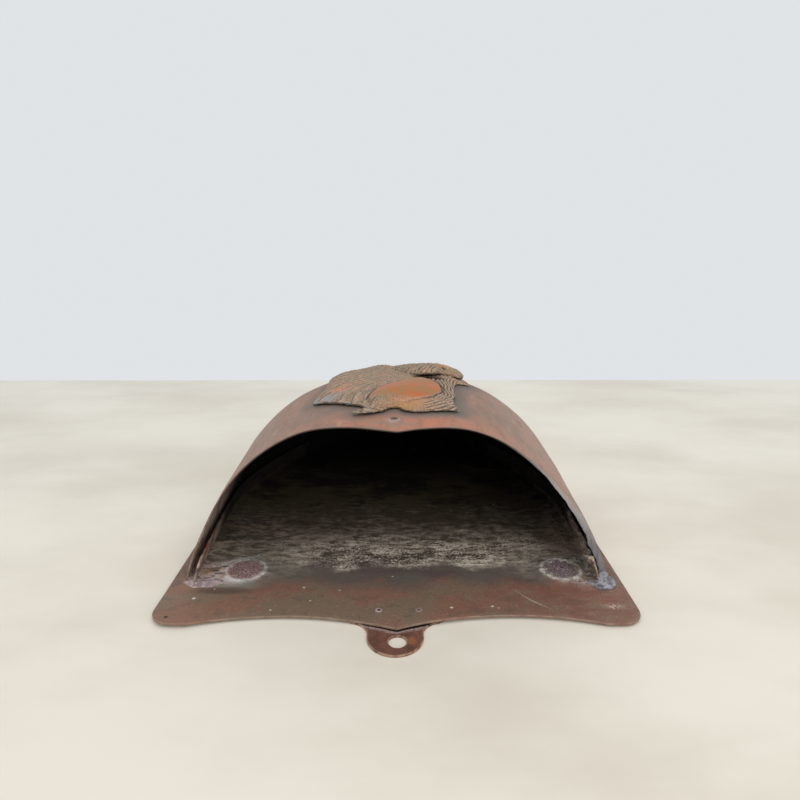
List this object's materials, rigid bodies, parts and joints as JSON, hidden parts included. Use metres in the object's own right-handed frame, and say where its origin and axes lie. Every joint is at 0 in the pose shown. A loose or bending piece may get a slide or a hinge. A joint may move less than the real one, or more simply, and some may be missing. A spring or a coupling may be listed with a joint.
{
  "type": "wall mounted mailbox",
  "caption": "Shield-shaped copper wall pocket for letters, open at the top, with a hanging tab and an applied eagle relief.",
  "frame": {"origin": "middle of the footprint, on the plane of the rearmost metal: the backs of the hanging tab and of the rivet washers", "axes": "+Z points out of the wall, through the front of the pocket; -Y is up when the box hangs, towards the hanging tab and the open mouth; +X runs across, to the right seen from the mouth"},
  "size_m": [0.2044, 0.294, 0.0857],
  "materials": {
    "shell_copper": "weathered satin",
    "plate_copper": "tarnished matte",
    "tab_copper": "tarnished satin",
    "angle_copper": "oxidised matte",
    "rivet_copper": "oxidised matte",
    "relief_copper": "weathered satin",
    "solder": "oxidised matte"
  },
  "bodies": {
    "root": {"back_plate": "plate_copper", "hanging_tab": "tab_copper", "tab_rivets": "rivet_copper", "pocket_shell": "shell_copper", "seam_angle_left": "angle_copper", "seam_angle_right": "angle_copper", "seam_solder_left": "solder", "seam_solder_right": "solder", "plate_rivets": "rivet_copper", "rivet_burrs": "rivet_copper", "eagle_relief": "relief_copper", "relief_pins": "rivet_copper"}
  },
  "joints": []
}
